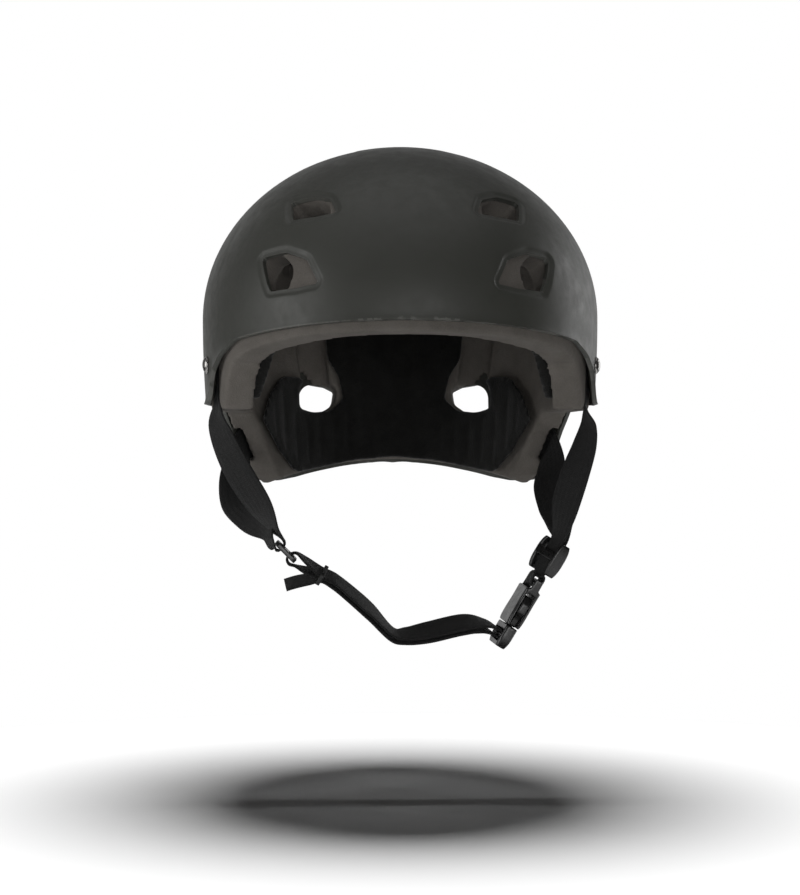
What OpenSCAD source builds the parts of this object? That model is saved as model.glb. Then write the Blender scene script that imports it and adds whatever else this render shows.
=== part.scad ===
// Half-dome water helmet: ABS shell, EVA foam liner, comfort pads and a Y-strap
// chin harness with a side-release buckle. Millimetres, +Z up, the face side is -Y.
// The origin is the centre of the head opening, level with the front brim.

/* [Shell] */
// Half of the shell's width across the ears
shell_half_w = 110; // [100:1:118]
// Half of the shell's length from brow to nape
shell_half_l = 136; // [126:1:144]
// Height of the dome above its widest level
shell_rise = 96; // [88:1:104]
// How slowly the sides tuck in below the widest level
shell_tuck = 260; // [220:5:320]
// Wall thickness of the moulded shell
shell_wall = 2.5; // [2:0.1:3.5]

/* [Liner and pads] */
// Thickness of the foam liner
liner_t = 15; // [13:1:18]
// Gap between the shell and the foam
liner_gap = 0.3; // [0.2:0.1:0.8]
// How far the front foam shows below the brim
brow_drop = 6; // [5:0.5:7]
// Thickness of the comfort pads
pad_t = 6; // [4:0.5:7]

/* [Vents] */
// Size of each vent opening, as a factor
vent_scale = 1; // [0.85:0.05:1.1]

/* [Harness] */
// Width of the webbing
web_w = 19; // [17:0.5:19]
// Thickness of the webbing
web_t = 1.4; // [1.2:0.1:1.5]
// Length of the side-release socket
socket_l = 28; // [26:1:30]
// Width of the side-release socket
socket_w = 24; // [24:0.5:26]
// Thickness of the side-release socket
socket_t = 8.6; // [8.4:0.1:9]
// Diameter of the domed rivet heads
rivet_d = 9.5; // [8:0.5:11]

/* [Hidden] */
$fn = 56;
shell_y = 4;
shell_z = 6;
far = 400;
foam_out = shell_wall + liner_gap;
foam_in = foam_out + liner_t;
pad_in = foam_in + pad_t;
tab_floor = -41;
foam_floor = -44.5;
split_y = 18;
split_z = 44;
joint_gap = 0.2;

// Each vent: azimuth from the brow, elevation, width and height of its fin outline, roll,
// and the share of its width that is open through the foam. A negative height turns it over.
front_vents = [[35.8, 12.5, 41, 21, 2, 0.5], [33.8, 35.5, 34, 17.5, 4, 0.85]];
top_vent = [74, 68, 33, 17, 55, 1];
rear_vents = [[141, 36, 28, 18, -4, 1], [153.5, -9.5, 23, -18, 4, 1]];
// Width of the groove up the inside of the foam between the two rear vents of a side
groove_w = 18;
// Rear channels run more nearly straight back than the shell's normal there
rear_turn = 0.2;

// Lower edge of the shell, seen from the side as [y, z]
shell_edge = [[-160, 0], [-132, 0], [-73, -8], [-57, -15.5], [-47, -24], [-41, -36],
    [-35, tab_floor], [15, tab_floor], [51, -42], [60, -55], [66, -68], [73, -79.5], [81, -84],
    [97, -84.5], [108, -82.5], [122, -78], [135, -73], [160, -69]];
// Lower edge of the foam
foam_edge = [[-160, -brow_drop], [-129, -brow_drop], [-112, -brow_drop - 1.5],
    [-92, -brow_drop - 5.5], [-75, -brow_drop - 9], [-62, -20], [-54, -30],
    [-49, foam_floor], [15, foam_floor], [49, -45], [58, -56.5], [64, -69.5], [71, -81],
    [80, -86], [97, -86.5], [108, -84.5], [121, -79.5], [132, -75], [160, -71]];

// Buckle frame: its socket bar, the lean of its axis and its turn about that axis
bar_at = [74.5, -10, -139];
buckle_lean = 31;
buckle_turn = 98;
// The divider sits on the same leaning line, turned further towards the face
divider_up = 15.5;
divider_turn = 118;
// Adjuster frame
adjuster_at = [-63.7, -10, -122.5];
adjuster_lean = -45;
adjuster_w = 26;
adjuster_l = 15;
adjuster_t = 2.6;
// The plug's base below the socket, and its strap bar
base_top = -socket_l - 0.5;
plug_bar_z = base_top - 6.8;

// Anchor rivets, as [y, z] on the shell's side
ear_anchor = [-28, -20];
rear_anchor = [76, -57];
rivet_r = 2;
// Which way the rear straps leave their anchors, turned from straight down
rear_strap_turn = -59;
// The nape's lower edge arches up in the middle, on this radius
nape_r = 210;
nape_top = -72;

// Axis, width and normal of a fitting that leans and is turned about its axis
function lean_axis(lean) = [sin(lean), 0, cos(lean)];
function lean_width(lean, turn) =
    [cos(turn) * cos(lean), sin(turn), -cos(turn) * sin(lean)];
function lean_normal(lean, turn) =
    [-sin(turn) * cos(lean), cos(turn), sin(turn) * sin(lean)];

hang = lean_axis(buckle_lean);
buckle_side = -lean_width(buckle_lean, buckle_turn);
buckle_out = lean_normal(buckle_lean, buckle_turn);
divider_side = -lean_width(buckle_lean, divider_turn);
divider_out = lean_normal(buckle_lean, divider_turn);
divider_at = bar_at + divider_up * hang;

// Webbing turned half round a bar of the buckle, from angle a to angle b
function round_bar(at, r, a, b, n) =
    [for (k = [0:n]) let (t = a + (b - a) * k / n)
        [at + r * (cos(t) * buckle_out + sin(t) * hang), buckle_side]];
// One layer of webbing through the divider
function in_divider(out, up) = [divider_at + out * divider_out + up * hang, divider_side];

// Routes of the webbing: each entry is a point on the centre line and the way its width runs
bar_loop_r = 2.9;
left_side_route = concat([
    [[102.4, -28, -12], [-0.2, -0.98, 0]], [[101.8, -28, -28], [-0.2, -0.98, 0]],
    [[100.9, -27.8, -41], [-0.18, -0.98, 0]], [[103, -25.5, -52], [0.3, -0.95, 0]],
    [[101, -23, -64], [0.6, -0.8, 0]], [[95.8, -20, -80], [0.75, -0.65, -0.1]],
    [[91, -16, -97], [0.7, -0.67, -0.25]]],
    [for (up = [11, 0, -10]) in_divider(0.95, up)],
    [[bar_at + bar_loop_r * buckle_out + 3 * hang, buckle_side]],
    round_bar(bar_at, bar_loop_r, -10, -170, 4),
    [[bar_at - bar_loop_r * buckle_out + 3 * hang, buckle_side]],
    [for (up = [-10, 0, 11]) in_divider(-0.95, up)], [
    [[90.3, -3, -108], [0.48, -0.84, -0.25]], [[88.5, 16, -99.5], [0.85, -0.45, -0.1]],
    [[87.5, 38, -87.5], [0.97, -0.1, 0.2]], [[89.5, 53, -75.5], [0.8, -0.3, 0.5]],
    [[89.7, 63.6, -64.3], [0.37, -0.46, 0.81]], [[87.4, 70, -60.5], [0.37, -0.46, 0.81]],
    [[85.1, 76, -57], [0.37, -0.46, 0.81]], [[82.6, 81, -54], [0.37, -0.46, 0.81]]]);
right_side_route = [
    [[-102.4, -28, -12], [-0.2, 0.98, 0]], [[-101.8, -28, -28], [-0.2, 0.98, 0]],
    [[-100.7, -27.8, -41], [-0.19, 0.98, 0]], [[-99.6, -25, -55], [-0.6, 0.8, -0.2]],
    [[-90.8, -21, -76], [-0.8, 0.6, -0.3]], [[-79.5, -16, -95], [-0.7, 0.65, -0.3]],
    [[-69.5, -12, -109.5], [-0.3, 0.95, -0.1]], [[-64.7, -10, -117], [0, 1, 0]],
    [[-65.6, -10, -120.6], [0, 1, 0]], [[-68.6, -10, -121.8], [0, 1, 0]],
    [[-71.8, -9, -119], [-0.2, 0.98, 0]], [[-77.5, -3, -113.8], [-0.4, 0.88, -0.2]],
    [[-85, 8, -106.5], [-0.78, 0.4, -0.4]], [[-91, 24, -97.5], [-0.97, 0.1, -0.1]],
    [[-93.3, 40, -86.5], [-0.95, -0.1, 0.25]], [[-92, 53.5, -75], [-0.75, -0.35, 0.55]],
    [[-89.7, 63.6, -64.3], [-0.37, -0.46, 0.81]], [[-87.4, 70, -60.5], [-0.37, -0.46, 0.81]],
    [[-85.1, 76, -57], [-0.37, -0.46, 0.81]], [[-82.6, 81, -54], [-0.37, -0.46, 0.81]]];
plug_bar_at = bar_at + plug_bar_z * hang;
chin_route = concat([
    [[-47.2, -10, -134.6], [0, 0.97, 0.2]], [[-53, -10, -132.8], [0, 0.98, 0.15]],
    [[-58.3, -10, -130.6], [0, 1, 0]], [[-61.9, -10, -129.4], [0, 1, 0]],
    [[-63, -10, -126.4], [0, 1, 0]], [[-60.9, -10, -124], [0, 1, 0]],
    [[-57.4, -10, -123.6], [0, 1, 0]], [[-52.5, -10, -127.4], [0, 0.98, 0.15]],
    [[-43.3, -10, -134.6], [0, 0.95, 0.3]], [[-35.8, -10, -138.4], [0, 0.95, 0.3]],
    [[-26.2, -10, -146.2], [0, 0.93, 0.35]], [[-16, -10, -155.4], [0, 0.93, 0.35]],
    [[-4.5, -10, -167.2], [0, 0.98, 0.2]], [[3, -10, -168.4], [0, 0.95, 0.3]],
    [[15, -10, -166.4], [0, 0.9, 0.42]], [[34.5, -10, -162.2], [0, 0.9, 0.42]],
    [[46, -10.2, -162.6], [0, 0.98, 0.2]]],
    [[plug_bar_at + 5 * buckle_out + 1.9 * hang, -buckle_side]],
    [for (k = [0:4]) let (t = 90 + 45 * k)
        [plug_bar_at + 2.3 * (cos(t) * buckle_out + sin(t) * hang), -buckle_side]],
    [[plug_bar_at + 5 * buckle_out - 1.9 * hang, -buckle_side]], [
    [[44, -10.2, -165.6], [0, 0.98, 0.2]], [[34, -10, -164.6], [0, 0.9, 0.42]],
    [[16, -10, -168.7], [0, 0.9, 0.42]], [[3, -10, -170.8], [0, 0.95, 0.3]],
    [[-5.8, -10, -169.6], [0, 0.98, 0.2]], [[-17.8, -10, -157], [0, 0.93, 0.35]],
    [[-27.7, -10, -147.9], [0, 0.93, 0.35]], [[-37, -10, -140.5], [0, 0.95, 0.3]],
    [[-44, -10, -137.3], [0, 0.97, 0.2]], [[-51, -10, -138], [0, 0.96, 0.27]],
    [[-58, -10, -139.4], [0, 0.95, 0.3]], [[-64, -10, -141.2], [0, 0.95, 0.3]]]);

function unit(v) = v / norm(v);

// A point on the dome, sunk by depth, at azimuth u from the brow and elevation v
function dome_point(u, v, depth = 0) = [
    (shell_half_w - depth) * sin(u) * cos(v),
    shell_y - (shell_half_l - depth) * cos(u) * cos(v),
    shell_z + ((v > 0 ? shell_rise : shell_tuck) - depth) * sin(v)];
// The way out of the dome at that point
function dome_normal(u, v) = let (p = dome_point(u, v)) unit([
    p.x / shell_half_w ^ 2,
    (p.y - shell_y) / shell_half_l ^ 2,
    (p.z - shell_z) / (v > 0 ? shell_rise : shell_tuck) ^ 2]);
// Azimuth and elevation of the point on the shell's side at [y, z], below the widest level
function side_angles(at) = let (v = asin((at.y - shell_z) / shell_tuck))
    [acos(-(at.x - shell_y) / (shell_half_l * cos(v))), v];

// Catmull-Rom curve through the route's points, n steps to each
function curve_at(a, b, c, d, t) =
    0.5 * (2 * b + (c - a) * t + (2 * a - 5 * b + 4 * c - d) * t ^ 2
        + (3 * b - a - 3 * c + d) * t ^ 3);
function smooth_route(r, n) = let (last = len(r) - 1) concat(
    [for (i = [0:last - 1]) for (k = [0:n - 1])
        curve_at(r[max(i - 1, 0)], r[i], r[i + 1], r[min(i + 2, last)], k / n)],
    [r[last]]);

// A flat strap swept along a route
module webbing(route, steps) {
    r = smooth_route(route, steps);
    last = len(r) - 1;
    rings = [for (i = [0:last]) let (
            run = unit(r[min(i + 1, last)][0] - r[max(i - 1, 0)][0]),
            flat = unit(cross(run, r[i][1])),
            side = cross(flat, run))
        each [for (c = [[-1, -1], [1, -1], [1, 1], [-1, 1]])
            r[i][0] + c[0] * side * web_w / 2 + c[1] * flat * web_t / 2]];
    polyhedron(rings, concat([[0, 1, 2, 3]],
        [for (i = [0:last - 1]) for (k = [0:3]) let (m = (k + 1) % 4, a = 4 * i)
            [a + k, a + 4 + k, a + 4 + m, a + m]],
        [[4 * last + 3, 4 * last + 2, 4 * last + 1, 4 * last]]), convexity = 8);
}

// Solid dome, sunk by depth from the shell's outer face
module dome(depth) {
    for (half = [[shell_rise, 0], [shell_tuck, -far]])
        translate([0, shell_y, shell_z]) intersection() {
            scale([shell_half_w - depth, shell_half_l - depth, half[0] - depth]) sphere(1);
            translate([-far / 2, -far / 2, half[1]]) cube(far);
        }
}

module dome_wall(outer, inner) {
    difference() {
        dome(outer);
        dome(inner);
    }
}

// Everything above a lower edge drawn from the side
module above(edge) {
    rotate([90, 0, 90]) linear_extrude(far, center = true)
        polygon(concat(edge, [[160, far], [-160, far]]));
}

// Fin-shaped vent outline: a slanting outboard side, a flat foot, an arched back and a low tip
module fin(w, h) {
    hull() {
        translate([-w / 2 + 2, h / 2 - 2.8]) circle(2, $fn = 16);
        translate([-w * 0.28 + 2.2, -h / 2 + 2.2]) circle(2.2, $fn = 16);
        translate([w / 2 - 1.5, -h / 2 + 3.6]) circle(1.5, $fn = 16);
        translate([-w * 0.12, 0]) circle(h * 0.5, $fn = 40);
        translate([w * 0.17, -h * 0.085]) circle(h * 0.4, $fn = 40);
    }
}

// Children placed on the dome at one vent, their Z square to it; side is -1 or 1
module at_vent(v, side) {
    p = dome_point(v[0], v[1]);
    square_out = dome_normal(v[0], v[1]);
    n = unit([square_out.x * (v[0] > 90 ? rear_turn : 1), square_out.y, square_out.z]);
    mirror([side < 0 ? 0 : 1, 0, 0]) translate([-p.x, p.y, p.z])
        rotate([0, 0, atan2(n.y, -n.x) + 90]) rotate([90 - asin(n.z), 0, 0])
        rotate([0, 0, v[4]]) children();
}

// Cutter for one vent, open over a share of its width on the outboard side
module vent_cut(v, side, open = 1, inner_grow = 0) {
    at_vent(v, side) translate([(open - 1) / 2 * v[2] * vent_scale, 0, 0])
        mirror([v[0] > 90 ? 1 : 0, 0, 0]) mirror([0, v[3] < 0 ? 1 : 0, 0]) hull() {
            translate([0, 0, 12]) linear_extrude(1)
                fin(v[2] * vent_scale * open, abs(v[3]) * vent_scale);
            translate([0, 0, -36]) linear_extrude(1)
                fin(v[2] * vent_scale * open + inner_grow, abs(v[3]) * vent_scale + inner_grow);
        }
}

module all_vents() {
    for (side = [-1, 1])
        for (v = concat(front_vents, [top_vent], rear_vents))
            vent_cut(v, side);
}

// Vent channels through the foam, with an air groove up its inside between the rear vents
module foam_channels() {
    for (side = [-1, 1]) {
        for (v = concat(front_vents, [top_vent], rear_vents))
            vent_cut(v, side, v[5], 2);
        hull() for (v = rear_vents)
            at_vent(v, side) translate([0, 0, -foam_in - 6]) cylinder(19, d = groove_w, $fn = 32);
    }
}

// Slots between shell and foam that the four strap ends sit in
module strap_pockets() {
    for (side = [-1, 1]) {
        translate([side * 101.4, ear_anchor.x, -26]) rotate([0, 0, side * -11.5])
            cube([5.4, web_w + 4, 46], center = true);
        on_side(rear_anchor, side) rotate([0, 0, rear_strap_turn]) translate([7, 0, -5])
            cube([48, web_w + 4, 6.4], center = true);
    }
}

// Space under the arched nape
module nape_arch() {
    translate([0, 60, nape_top - nape_r]) rotate([-90, 0, 0]) cylinder(90, r = nape_r, $fn = 144);
}

// Children stood on the shell's side at [y, z], their Z square to the shell
module on_side(at, side) {
    a = side_angles(at);
    n = dome_normal(a[0], a[1]);
    mirror([side < 0 ? 1 : 0, 0, 0]) translate(dome_point(a[0], a[1]))
        rotate([0, acos(n.z), atan2(n.y, n.x)]) children();
}

// Holes for the four anchor rivets
module rivet_holes(r) {
    for (side = [-1, 1])
        for (at = [ear_anchor, rear_anchor])
            on_side(at, side) cylinder(30, r = r, center = true, $fn = 32);
}

module outer_shell() {
    color("#3f3f3a") difference() {
        intersection() {
            dome_wall(0, shell_wall);
            above(shell_edge);
        }
        all_vents();
        rivet_holes(rivet_r + 0.1);
    }
}

module foam() {
    difference() {
        intersection() {
            dome_wall(foam_out, foam_in);
            above(foam_edge);
        }
        foam_channels();
        strap_pockets();
        nape_arch();
        intersection() {
            dome_wall(foam_in - 1.4, foam_in + 2);
            patch_columns(0.5);
        }
    }
}

module liner_crown() {
    color("#57534e") intersection() {
        foam();
        translate([-far / 2, -far / 2, split_z + joint_gap]) cube(far);
    }
}

module liner_front_band() {
    color("#5b5650") intersection() {
        foam();
        translate([-far / 2, -far + split_y, split_z - far]) cube(far);
    }
}

module liner_neck_band() {
    color("#514d48") intersection() {
        foam();
        translate([-far / 2, split_y + joint_gap, split_z - far]) cube(far);
    }
}

// A comfort pad lying on the foam, cut by an outline given as its child
module pad_wall() {
    difference() {
        intersection() {
            dome_wall(foam_in + 0.1, pad_in);
            children();
        }
        foam_channels();
    }
}

module crown_pad() {
    color("#161614") pad_wall()
        translate([0, 6, 0]) linear_extrude(far) offset(12) square([16, 84], center = true);
}

module front_pad() {
    color("#161614") pad_wall()
        rotate([90, 0, 0]) linear_extrude(far) translate([0, 9])
            offset(6) square([58, 16], center = true);
}

// Low rear pad: a lobe round each rear vent, and a middle that widens upwards between them
module rear_pad() {
    color("#121210") pad_wall()
        translate([0, 30, 0]) rotate([-90, 0, 0]) mirror([0, 1]) linear_extrude(far) offset(6)
            for (side = [-1, 1])
                scale([side, 1]) polygon([[0, -64.5], [26, -67], [56, -73.5], [63, -64], [71, -48],
                    [68, -36], [64, -29], [59, -29], [50, -49], [36, -49], [24, -38], [28, -20],
                    [38, -4], [41, 12], [41, 38], [0, 38]]);
}

module temple_pad(side) {
    color("#161614") pad_wall()
        rotate([90, 0, side * 90]) linear_extrude(far) mirror([side > 0 ? 0 : 1, 0])
            offset(4) polygon([[-72, 14], [-24, 14], [-26, -30], [-42, -35], [-50, -27], [-58, -15],
                [-70, -5]]);
}
module temple_pad_left() { temple_pad(1); }
module temple_pad_right() { temple_pad(-1); }

// Hook-tape patches that sit in the foam behind the pads
module patch_columns(grow) {
    for (y = [-40, 50])
        translate([0, y, 0]) cylinder(far, r = 8 + grow);
    for (x = [-30, 30]) {
        translate([x, 30, -58]) rotate([-90, 0, 0]) cylinder(far, r = 7 + grow);
        translate([x * 0.8, -30, 9]) rotate([90, 0, 0]) cylinder(far, r = 7 + grow);
        translate([0, -42, -6]) rotate([0, sign(x) * 90, 0]) cylinder(far, r = 7 + grow);
    }
}
module hook_patches() {
    color("#1c1c1b") intersection() {
        dome_wall(foam_in - 0.9, foam_in - 0.05);
        patch_columns(0);
    }
}

// Domed rivet through the shell, the webbing and its washer
module rivet(side, at) {
    color("#b9b8b4") on_side(at, side) {
        intersection() {
            translate([0, 0, 2.6 - rivet_d]) sphere(rivet_d, $fn = 48);
            translate([0, 0, 0.4]) cylinder(3, r = rivet_d / 2, $fn = 48);
        }
        translate([0, 0, -6]) cylinder(7, r = rivet_r, $fn = 32);
        translate([0, 0, -6.4]) cylinder(0.7, r = 3.4, $fn = 32);
    }
}
module ear_rivet_left() { rivet(1, ear_anchor); }
module ear_rivet_right() { rivet(-1, ear_anchor); }
module rear_rivet_left() { rivet(1, rear_anchor); }
module rear_rivet_right() { rivet(-1, rear_anchor); }

// Flat washers that spread the rivet's load on the webbing
module washers(at) {
    color("#8d8c88") for (side = [-1, 1])
        on_side(at, side) translate([0, 0, -5.6]) difference() {
            cylinder(0.7, r = 5.5, $fn = 48);
            translate([0, 0, -1]) cylinder(3, r = rivet_r + 0.1, $fn = 32);
        }
}
module ear_washers() { washers(ear_anchor); }
module rear_washers() { washers(rear_anchor); }

module side_strap(route) {
    color("#1b1b1b") difference() {
        webbing(route, 3);
        rivet_holes(rivet_r + 0.2);
    }
}
module side_strap_left() { side_strap(left_side_route); }
module side_strap_right() { side_strap(right_side_route); }

// A box with its four long edges rounded, centred, its length along Z
module slab(w, t, l, r) {
    translate([0, 0, -l / 2]) linear_extrude(l)
        offset(r, $fn = 24) square([w - 2 * r, t - 2 * r], center = true);
}

// Strap divider: two side rails, a bar in front and two behind, with the webbing between
module strap_divider() {
    rail = 3;
    outer = web_w + 2 * rail + 3.4;
    color("#2b2b2b") translate(divider_at) rotate([0, buckle_lean, 0])
        rotate([0, 0, divider_turn]) {
            for (side = [-1, 1])
                translate([side * (outer - rail) / 2, 0, 0]) slab(rail, 8.6, 19.6, 1);
            for (z = [-6.2, 7.4])
                translate([0, -3.5, z]) cube([outer - rail, 1.6, 3.6], center = true);
            translate([0, 3.5, 1]) cube([outer - rail, 1.6, 4.4], center = true);
        }
}

// Three-bar adjuster plate, its width along Y
module strap_adjuster() {
    color("#2f2f2e") translate(adjuster_at) rotate([0, adjuster_lean, 0]) difference() {
        rotate([0, -90, 0]) translate([0, 0, -adjuster_t / 2]) linear_extrude(adjuster_t)
            offset(2.5, $fn = 32) square([adjuster_l - 5, adjuster_w - 5], center = true);
        for (side = [-1, 1])
            translate([0, 0, side * 3.3]) cube([far, web_w + 1.4, 3.6], center = true);
    }
}

// Side-release socket: bar end on top, open mouth below, a slot down each side
module buckle_socket() {
    wall = 1.5;
    color("#333332") buckle_place() {
        difference() {
            translate([0, 0, -socket_l / 2 - 2.5]) slab(socket_w, socket_t, socket_l - 5, 2);
            translate([0, 0, -socket_l]) cube([socket_w - 4, socket_t - 2 * wall, 38], center = true);
            translate([0, 0, -socket_l + 2]) cube([far, 5.2, 36], center = true);
        }
        for (side = [-1, 1])
            translate([side * (socket_w / 2 - 1), 0, -2.8]) slab(2, 5, 8.6, 0.8);
        translate([-socket_w / 2, 0, 0]) rotate([0, 90, 0]) cylinder(socket_w, r = 1.5, $fn = 32);
    }
}

module buckle_place() {
    translate(bar_at) rotate([0, buckle_lean, 0]) rotate([0, 0, buckle_turn]) children();
}

// Plug: a base with a strap bar, and a flat guide tongue up the socket's middle
module buckle_plug() {
    color("#2b2b2b") buckle_place() {
        difference() {
            translate([0, 0, base_top - 6.5]) slab(socket_w + 1, 7, 13, 2);
            translate([0, 0, plug_bar_z]) cube([web_w + 1.6, far, 6.8], center = true);
        }
        translate([-web_w / 2 - 1.5, 0, plug_bar_z]) rotate([0, 90, 0])
            cylinder(web_w + 3, r = 1.1, $fn = 32);
        translate([0, 0, base_top + 8]) slab(5, 3, 19, 1);
    }
}

// Sprung prong of the plug, with its thumb head in the socket's side slot
module prong(side) {
    foot = -socket_l - 0.2;
    color("#303030") buckle_place() rotate([90, 0, 0])
        translate([0, 0, -2.2]) linear_extrude(4.4) scale([side, 1]) polygon([
            [5.6, foot], [8.6, foot], [9.6, foot + 5], [socket_w / 2 - 0.2, foot + 9],
            [socket_w / 2 - 0.2, foot + 14], [9.4, foot + 18.5], [7.2, foot + 19],
            [8, foot + 14], [6.6, foot + 6]]);
}
module buckle_prong_front() { prong(-1); }
module buckle_prong_rear() { prong(1); }

module chin_strap() {
    color("#1a1a1a") webbing(chin_route, 3);
}

// Rubber keeper that holds the free end against the strap
module strap_keeper() {
    color("#101010") translate([-43.6, -10, -135.8]) rotate([16, 30, 0])
        rotate([0, 90, 0]) linear_extrude(3, center = true) difference() {
            offset(3, $fn = 32) square([4.8, web_w - 0.4], center = true);
            offset(1, $fn = 32) square([5.4, web_w], center = true);
        }
}

outer_shell();
liner_crown();
liner_front_band();
liner_neck_band();
crown_pad();
front_pad();
rear_pad();
temple_pad_left();
temple_pad_right();
hook_patches();
ear_rivet_left();
ear_rivet_right();
rear_rivet_left();
rear_rivet_right();
ear_washers();
rear_washers();
side_strap_left();
side_strap_right();
strap_divider();
strap_adjuster();
buckle_socket();
buckle_plug();
buckle_prong_front();
buckle_prong_rear();
chin_strap();
strap_keeper();
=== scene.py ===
"""A half-dome water helmet: its looks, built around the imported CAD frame.

Lengths here are in millimetres and angles in degrees; meshes are made in metres by new_object().
The face side is -Y and the wearer's left is +X, as in the CAD source.
"""
import math

import bmesh
import bpy
import numpy as np
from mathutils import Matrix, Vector, geometry


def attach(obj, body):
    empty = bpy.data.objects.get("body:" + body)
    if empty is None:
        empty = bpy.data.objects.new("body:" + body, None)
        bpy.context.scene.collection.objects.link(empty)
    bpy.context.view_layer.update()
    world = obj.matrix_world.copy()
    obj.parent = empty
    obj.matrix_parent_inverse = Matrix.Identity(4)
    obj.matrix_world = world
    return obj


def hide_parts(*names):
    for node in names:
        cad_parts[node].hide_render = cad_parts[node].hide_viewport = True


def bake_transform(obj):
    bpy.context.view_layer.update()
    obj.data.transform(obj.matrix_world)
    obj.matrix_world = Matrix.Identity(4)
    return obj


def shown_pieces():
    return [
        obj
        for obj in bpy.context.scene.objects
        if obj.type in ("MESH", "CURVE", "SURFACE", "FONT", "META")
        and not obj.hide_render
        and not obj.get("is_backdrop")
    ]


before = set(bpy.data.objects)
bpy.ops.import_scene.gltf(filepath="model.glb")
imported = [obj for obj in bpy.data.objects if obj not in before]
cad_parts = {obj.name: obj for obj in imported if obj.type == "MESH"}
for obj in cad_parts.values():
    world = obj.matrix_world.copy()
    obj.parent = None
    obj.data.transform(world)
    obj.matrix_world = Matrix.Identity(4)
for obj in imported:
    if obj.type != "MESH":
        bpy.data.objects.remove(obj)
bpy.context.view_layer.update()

MM = 0.001

# ---------------------------------------------------------------- the CAD source's own numbers
HALF_W, HALF_L, RISE, TUCK = 110.0, 136.0, 96.0, 260.0
CENTRE = np.array([0.0, 4.0, 6.0])
WALL = 2.5
FOAM_IN = 17.8
REAR_TURN = 0.2
# azimuth, elevation, width, height (negative is turned over), roll
VENTS = ((35.8, 12.5, 41, 21, 2), (33.8, 35.5, 34, 17.5, 4), (74, 68, 33, 17, 55),
         (141, 36, 28, 18, -4), (153.5, -9.5, 23, -18, 4))
SHELL_EDGE = ((-160, 0), (-132, 0), (-73, -8), (-57, -15.5), (-47, -24), (-41, -36), (-35, -41),
              (15, -41), (51, -42), (60, -55), (66, -68), (73, -79.5), (81, -84), (97, -84.5),
              (108, -82.5), (122, -78), (135, -73), (160, -69))
EAR_ANCHOR, REAR_ANCHOR = (-28, -20), (76, -57)
WEB_W, WEB_T = 19.0, 1.4
BAR_AT = np.array([74.5, -10.0, -139.0])
LEAN, BUCKLE_TURN, DIVIDER_TURN = 31.0, 98.0, 118.0
DIVIDER_UP, PLUG_BAR_Z, BAR_LOOP_R = 15.5, -35.3, 2.9


def sind(a):
    return math.sin(math.radians(a))


def cosd(a):
    return math.cos(math.radians(a))


def across_fitting(turn):
    """The way a fitting's width runs, and the way it faces, for its turn about the leaning axis."""
    width = np.array([cosd(turn) * cosd(LEAN), sind(turn), -cosd(turn) * sind(LEAN)])
    facing = np.array([-sind(turn) * cosd(LEAN), cosd(turn), sind(turn) * sind(LEAN)])
    return -width, facing


HANG = np.array([sind(LEAN), 0.0, cosd(LEAN)])
BUCKLE_SIDE, BUCKLE_OUT = across_fitting(BUCKLE_TURN)
DIVIDER_SIDE, DIVIDER_OUT = across_fitting(DIVIDER_TURN)
DIVIDER_AT = BAR_AT + DIVIDER_UP * HANG
ADJUSTER_BAR_AT, ADJUSTER_UP = np.array([-67.8, -10.0, -118.4]), np.array([-0.707, 0.0, 0.707])
PLUG_BAR_AT = BAR_AT + PLUG_BAR_Z * HANG


def in_divider(out, up):
    return (DIVIDER_AT + out * DIVIDER_OUT + up * HANG, DIVIDER_SIDE)


def round_bar(at, radius, start, stop, count, side):
    """Webbing turned round a bar of the buckle."""
    return [(at + radius * (cosd(t) * BUCKLE_OUT + sind(t) * HANG), side)
            for t in np.linspace(start, stop, count + 1)]


# Routes of the webbing: points on the centre line, and the way the width runs there
LEFT_ROUTE = [
    ((102.4, -28, -12), (-0.2, -0.98, 0)), ((101.8, -28, -28), (-0.2, -0.98, 0)),
    ((100.9, -27.8, -41), (-0.18, -0.98, 0)), ((103, -25.5, -52), (0.3, -0.95, 0)),
    ((101, -23, -64), (0.6, -0.8, 0)), ((95.8, -20, -80), (0.75, -0.65, -0.1)),
    ((91, -16, -97), (0.7, -0.67, -0.25)),
    *[in_divider(0.95, up) for up in (11, 0, -10)],
    (BAR_AT + BAR_LOOP_R * BUCKLE_OUT + 3 * HANG, BUCKLE_SIDE),
    *round_bar(BAR_AT, BAR_LOOP_R, -10, -170, 4, BUCKLE_SIDE),
    (BAR_AT - BAR_LOOP_R * BUCKLE_OUT + 3 * HANG, BUCKLE_SIDE),
    *[in_divider(-0.95, up) for up in (-10, 0, 11)],
    ((90.3, -3, -108), (0.48, -0.84, -0.25)), ((88.5, 16, -99.5), (0.85, -0.45, -0.1)),
    ((87.5, 38, -87.5), (0.97, -0.1, 0.2)), ((89.5, 53, -75.5), (0.8, -0.3, 0.5)),
    ((89.7, 63.6, -64.3), (0.37, -0.46, 0.81)), ((87.4, 70, -60.5), (0.37, -0.46, 0.81)),
    ((85.1, 76, -57), (0.37, -0.46, 0.81)), ((82.6, 81, -54), (0.37, -0.46, 0.81))]
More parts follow.
